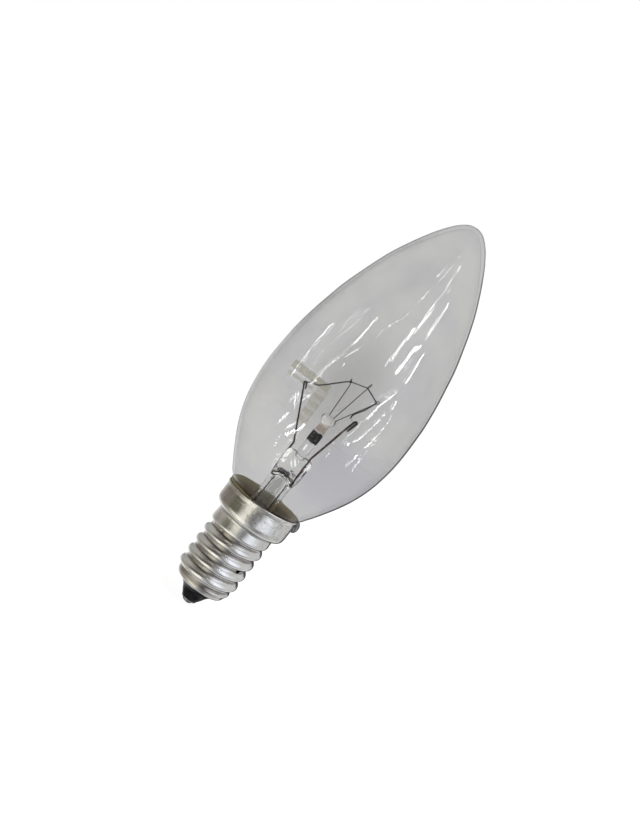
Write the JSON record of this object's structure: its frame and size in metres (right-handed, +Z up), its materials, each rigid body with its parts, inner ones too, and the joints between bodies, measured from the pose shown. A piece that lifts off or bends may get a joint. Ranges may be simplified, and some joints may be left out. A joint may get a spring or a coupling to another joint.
{
  "type": "candle bulb",
  "caption": "Clear candle-shaped filament lamp with a glass stem and hooked filament inside, on a small threaded aluminium cap with a black glass insulator and end contact.",
  "frame": {"origin": "tip of the centre contact, on the screw cap's axis", "axes": "+Z up the cap's axis towards the glass tip, +X towards the rim's solder bead, -Y the side that the picture shows"},
  "size_m": [0.0349, 0.0348, 0.0991],
  "materials": {
    "clear_glass": "clear, glossy",
    "stem_glass": "clear with a faint green-grey tone",
    "cap_aluminium": "thin rolled sheet, slightly dull, handling marks",
    "black_glass": "opaque black, glossy",
    "contact_metal": "tinned, dull",
    "solder": "bright to grey, smooth",
    "cement": "baked lamp cement, matt olive brown",
    "getter": "dark grey-black coating",
    "lead_metal": "nickel, darkened",
    "seal_metal": "reddish copper-clad wire",
    "support_metal": "thin grey wire",
    "tungsten": "fine coil, dark grey",
    "outer_copper": "bare copper wire, tarnished"
  },
  "bodies": {
    "root": {"glass_envelope": "clear_glass", "stem_flare": "stem_glass", "exhaust_tube": "stem_glass", "glass_cane": "stem_glass", "screw_shell": "cap_aluminium", "cap_insulator": "black_glass", "contact_plate": "contact_metal", "contact_solder": "solder", "side_solder": "solder", "cap_cement": "cement", "getter_band": "getter", "lead_wire_left": "lead_metal", "lead_wire_right": "lead_metal", "seal_wire_left": "seal_metal", "seal_wire_right": "seal_metal", "support_wire_left": "support_metal", "support_wire_middle": "support_metal", "support_wire_right": "support_metal", "filament": "tungsten", "outer_lead_contact": "outer_copper", "outer_lead_rim": "outer_copper"}
  },
  "joints": []
}
